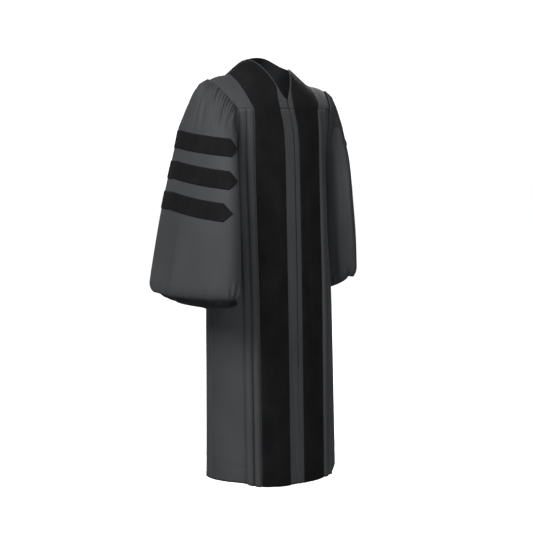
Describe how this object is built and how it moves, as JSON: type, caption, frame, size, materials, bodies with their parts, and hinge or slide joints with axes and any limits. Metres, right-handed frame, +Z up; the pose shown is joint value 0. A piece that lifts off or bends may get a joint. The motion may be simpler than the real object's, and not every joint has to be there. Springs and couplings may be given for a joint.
{
  "type": "graduation gown",
  "caption": "Long graduation gown in its worn shape with bell sleeves, a V neck, velvet front bands and pointed velvet sleeve bars.",
  "frame": {"origin": "between the wearer's shoulders, level with the side neck points, where the wearer holds the gown up", "axes": "+Z up, the gown faces -Y, its own right sleeve is at -X"},
  "size_m": [0.7578, 0.495, 1.322],
  "materials": {
    "charcoal_cloth": "charcoal satin-faced gown cloth, soft sheen",
    "black_velvet": "near-black cut velvet, short pile",
    "zip_tape": "black woven tape",
    "zip_chain": "black moulded coil"
  },
  "bodies": {
    "root": {"yoke_back": "charcoal_cloth", "yoke_front_right": "charcoal_cloth", "yoke_front_left": "charcoal_cloth", "front_panel_right": "charcoal_cloth", "front_panel_left": "charcoal_cloth", "back_panel": "charcoal_cloth", "sleeve_right": "charcoal_cloth", "sleeve_left": "charcoal_cloth", "velvet_band_right": "black_velvet", "velvet_band_left": "black_velvet", "sleeve_bar_right_1": "black_velvet", "sleeve_bar_right_2": "black_velvet", "sleeve_bar_right_3": "black_velvet", "sleeve_bar_left_1": "black_velvet", "sleeve_bar_left_2": "black_velvet", "sleeve_bar_left_3": "black_velvet", "zip_tape_right": "zip_tape", "zip_tape_left": "zip_tape", "zip_chain": "zip_chain"}
  },
  "joints": []
}
